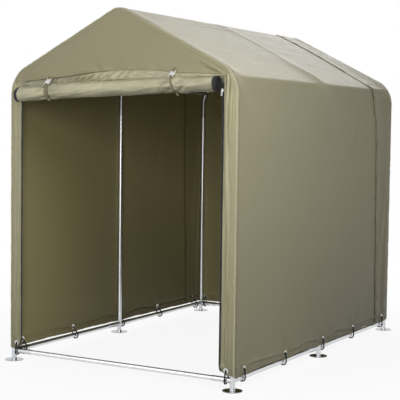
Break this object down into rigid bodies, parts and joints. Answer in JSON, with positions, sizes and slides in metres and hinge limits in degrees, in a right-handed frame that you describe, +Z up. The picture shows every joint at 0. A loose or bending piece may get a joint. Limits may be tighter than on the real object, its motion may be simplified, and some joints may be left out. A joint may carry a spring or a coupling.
{
  "type": "bike shelter",
  "caption": "Portable bike shelter: a slip-together steel tube frame on disc feet with a stretched fabric cover and a front door panel rolled up under the gable.",
  "frame": {"origin": "on the ground, under the middle of the overall outline", "axes": "+X to the right-hand side seen from the front, -Y towards the open front, +Z up"},
  "size_m": [1.31, 1.9652, 1.6927],
  "materials": {
    "frame_tube": "galvanised, satin",
    "frame_fitting": "galvanised, slightly darker than the tubes",
    "cover_cloth": "coated woven fabric, olive khaki",
    "door_cloth": "coated woven fabric, olive khaki, rolled",
    "strap_webbing": "woven webbing",
    "zip_tape": "black woven zip tape",
    "bright_metal": "bright plated",
    "eyelet_metal": "plated",
    "elastic_cord": "black braided elastic"
  },
  "bodies": {
    "root": {"front_left_foot": "frame_fitting", "front_right_foot": "frame_fitting", "middle_left_foot": "frame_fitting", "middle_right_foot": "frame_fitting", "back_left_foot": "frame_fitting", "back_right_foot": "frame_fitting", "front_sill_rail": "frame_tube", "back_sill_rail": "frame_tube", "left_sill_rails": "frame_tube", "right_sill_rails": "frame_tube", "front_left_post": "frame_tube", "front_right_post": "frame_tube", "middle_left_post": "frame_tube", "middle_right_post": "frame_tube", "back_left_post": "frame_tube", "back_right_post": "frame_tube", "front_eave_elbows": "frame_fitting", "middle_eave_elbows": "frame_fitting", "back_eave_elbows": "frame_fitting", "front_rafters": "frame_tube", "middle_rafters": "frame_tube", "back_rafters": "frame_tube", "front_ridge_elbow": "frame_fitting", "middle_ridge_elbow": "frame_fitting", "back_ridge_elbow": "frame_fitting", "left_eave_rails": "frame_tube", "right_eave_rails": "frame_tube", "ridge_rails": "frame_tube", "left_wall_cover": "cover_cloth", "right_wall_cover": "cover_cloth", "roof_cover": "cover_cloth", "back_panel": "cover_cloth", "back_band": "cover_cloth", "front_gable_panel": "cover_cloth", "front_left_border": "cover_cloth", "front_right_border": "cover_cloth", "rolled_door": "door_cloth", "roll_straps": "strap_webbing", "roll_buckles": "bright_metal", "door_zips": "zip_tape", "zip_pulls": "bright_metal", "eyelets": "eyelet_metal", "elastic_loops": "elastic_cord"}
  },
  "joints": []
}
